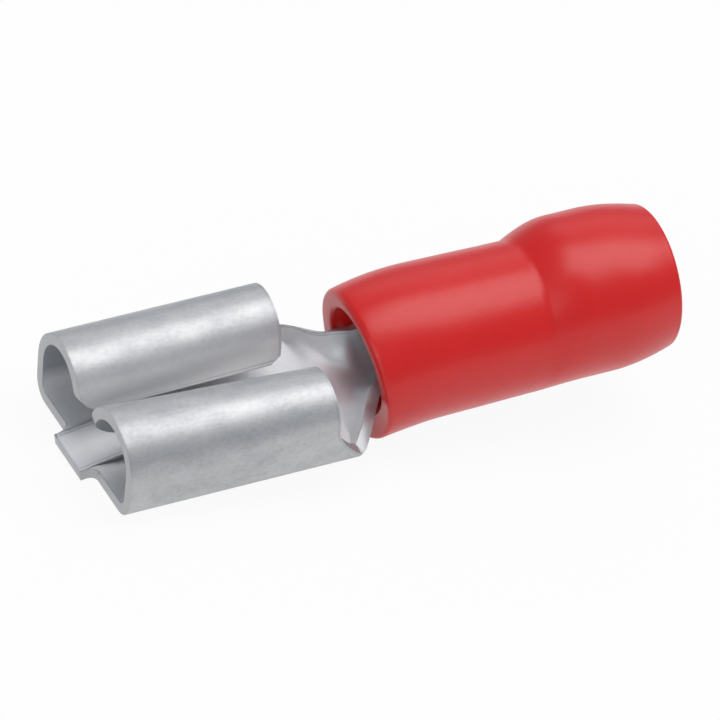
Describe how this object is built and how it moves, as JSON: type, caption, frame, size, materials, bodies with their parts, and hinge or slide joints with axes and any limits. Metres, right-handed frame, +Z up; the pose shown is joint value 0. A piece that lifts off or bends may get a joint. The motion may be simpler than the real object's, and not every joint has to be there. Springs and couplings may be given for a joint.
{
  "type": "insulated female spade terminal",
  "caption": "Push-on female spade terminal: a curled tinned receptacle that grips a flat tab, on a crimp barrel inside a red bell-mouthed insulating sleeve.",
  "frame": {"origin": "middle of the footprint, on the surface that the terminal lies on", "axes": "+X from the tab mouth towards the wire end, +Z up; the terminal lies nose down at its resting tilt"},
  "size_m": [0.0214, 0.0074, 0.0072],
  "materials": {
    "tinned_brass": "satin tin plating on brass strip",
    "red_pvc": "satin red soft PVC"
  },
  "bodies": {
    "root": {"terminal": "tinned_brass", "insulating_sleeve": "red_pvc"}
  },
  "joints": []
}
